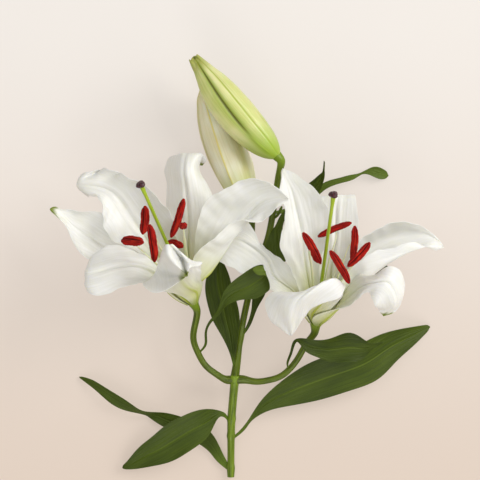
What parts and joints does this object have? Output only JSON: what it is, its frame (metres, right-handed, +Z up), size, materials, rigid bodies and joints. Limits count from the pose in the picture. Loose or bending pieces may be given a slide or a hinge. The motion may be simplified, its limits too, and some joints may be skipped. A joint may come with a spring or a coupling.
{
  "type": "cut lily",
  "caption": "Cut stem of a white lily lying on a surface, with open trumpet flowers, closed buds and long pointed leaves.",
  "frame": {"origin": "under the middle of the bounding box, on the surface the stem lies on", "axes": "+Y along the stem from its cut end to the bud tips, +X to the right seen from above, +Z up"},
  "size_m": [0.3154, 0.339, 0.1312],
  "materials": {
    "stem": "smooth fresh green stem",
    "leaf": "waxy dark green leaf",
    "petal": "matt white petal with a green midrib",
    "filament": "smooth pale green",
    "anther": "powdery red-brown pollen",
    "pistil": "smooth yellow-green",
    "stigma": "sticky dark purple",
    "green_bud": "smooth pale green with darker seams",
    "white_bud": "smooth cream white with pale ribs"
  },
  "bodies": {
    "root": {"main_stem": "stem", "left_flower_stalk": "stem", "right_flower_stalk": "stem", "green_bud_stalk": "stem", "white_bud_stalk": "stem", "white_bud": "white_bud", "green_bud": "green_bud", "left_petal_1": "petal", "left_petal_2": "petal", "left_petal_3": "petal", "left_petal_4": "petal", "left_petal_5": "petal", "left_petal_6": "petal", "left_filament_1": "filament", "left_filament_2": "filament", "left_filament_3": "filament", "left_filament_4": "filament", "left_filament_5": "filament", "left_filament_6": "filament", "left_anther_1": "anther", "left_anther_2": "anther", "left_anther_3": "anther", "left_anther_4": "anther", "left_anther_5": "anther", "left_anther_6": "anther", "left_pistil": "pistil", "left_stigma": "stigma", "right_petal_1": "petal", "right_petal_2": "petal", "right_petal_3": "petal", "right_petal_4": "petal", "right_petal_5": "petal", "right_petal_6": "petal", "right_filament_1": "filament", "right_filament_2": "filament", "right_filament_3": "filament", "right_filament_4": "filament", "right_filament_5": "filament", "right_filament_6": "filament", "right_anther_1": "anther", "right_anther_2": "anther", "right_anther_3": "anther", "right_anther_4": "anther", "right_anther_5": "anther", "right_anther_6": "anther", "right_pistil": "pistil", "right_stigma": "stigma", "leaf_low_left": "leaf", "leaf_front_left": "leaf", "leaf_big_right": "leaf", "leaf_tall_left": "leaf", "leaf_curly": "leaf", "leaf_right_bract": "leaf", "leaf_tall_right": "leaf", "leaf_back_pointed": "leaf", "leaf_back_narrow": "leaf", "leaf_small_upright": "leaf", "leaf_spoon": "leaf", "leaf_behind_flower": "leaf"}
  },
  "joints": []
}
